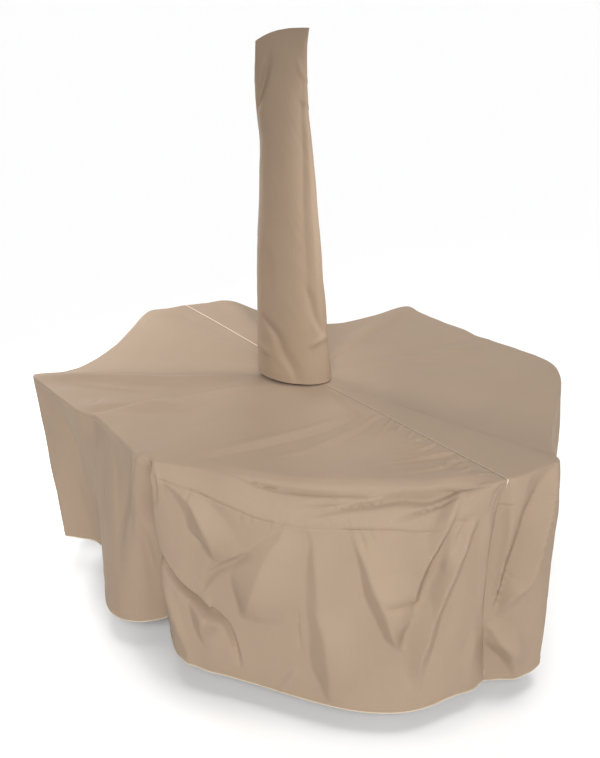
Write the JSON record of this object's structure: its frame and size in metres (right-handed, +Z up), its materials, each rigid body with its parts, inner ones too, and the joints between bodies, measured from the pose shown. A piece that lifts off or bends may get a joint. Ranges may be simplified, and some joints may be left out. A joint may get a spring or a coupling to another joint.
{
  "type": "patio dining set cover",
  "caption": "Fitted tan fabric cover draped over a hidden patio table and chairs, with a hanging skirt and a tall sleeve for a closed umbrella.",
  "frame": {"origin": "centre of the pole hole in the top, at the level of the top's underside, where the cover rests on the hidden table", "axes": "+X along the centre seam towards the near end of the cover, +Y towards its right side, +Z up"},
  "size_m": [2.364, 1.9478, 2.191],
  "materials": {
    "cover_cloth": "woven coated polyester, slight sheen",
    "sleeve_cloth": "woven coated polyester, slight sheen",
    "seam_tape": "matt sealing tape"
  },
  "bodies": {
    "root": {"top_panel_left": "cover_cloth", "top_panel_right": "cover_cloth", "skirt_left": "cover_cloth", "skirt_right": "cover_cloth", "umbrella_sleeve": "sleeve_cloth", "seam_tape": "seam_tape"}
  },
  "joints": []
}
